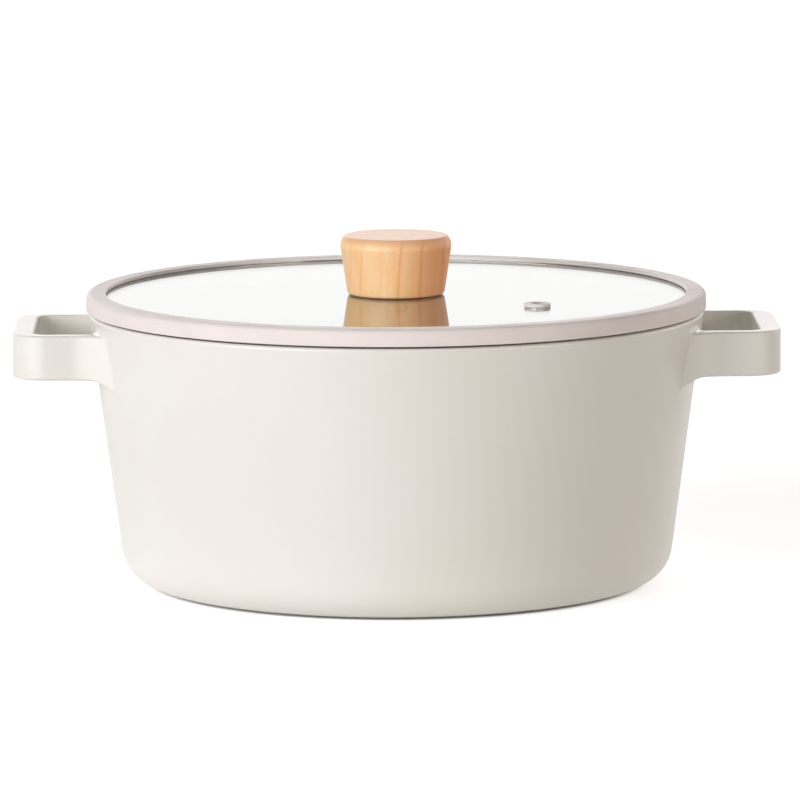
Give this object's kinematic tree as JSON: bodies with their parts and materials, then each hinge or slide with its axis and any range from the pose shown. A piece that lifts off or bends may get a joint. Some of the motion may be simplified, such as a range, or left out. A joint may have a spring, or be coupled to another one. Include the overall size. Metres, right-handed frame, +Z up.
{
  "type": "lidded casserole pot",
  "caption": "Round ivory cast casserole pot with side loop handles and a flat glass lid that lifts off, in a silicone rim, with a steam vent and a turned wooden knob.",
  "frame": {"origin": "middle of the underside, on the surface the pot stands on", "axes": "+X through the right-hand handle, +Y away from the viewer, +Z up through the knob"},
  "size_m": [0.3078, 0.25, 0.1406],
  "materials": {
    "ivory_coating": "cast aluminium under a satin ivory ceramic coating",
    "base_steel": "turned stainless steel",
    "rim_silicone": "matt pinkish beige silicone",
    "clear_glass": "clear toughened glass, polished",
    "beech": "turned beech, oiled",
    "insert_brass": "plain turned brass",
    "gasket_silicone": "dark grey silicone",
    "foot_silicone": "brown silicone",
    "fastener_steel": "bright stainless steel"
  },
  "bodies": {
    "pot": {"pot_body": "ivory_coating", "induction_plate": "base_steel"},
    "lid_rim": {"lid_rim_seal": "rim_silicone", "seat_gasket": "gasket_silicone"},
    "lid_panel": {"lid_glass": "clear_glass", "steam_vent_grommet": "rim_silicone", "knob": "beech", "knob_insert": "insert_brass", "knob_gasket": "foot_silicone", "glass_gasket": "gasket_silicone", "clamp_washer": "fastener_steel", "lock_washer": "fastener_steel", "knob_screw": "fastener_steel"}
  },
  "joints": [
    {"name": "lid_lift", "type": "slide", "parent": "pot", "child": "lid_rim", "axis": [0, 0, 1], "range_m": [0, 0.15]},
    {"name": "lid_turn", "type": "hinge", "parent": "lid_rim", "child": "lid_panel", "pos_m": [0, 0, 0.115], "axis": [0, 0, 1], "continuous": true}
  ]
}
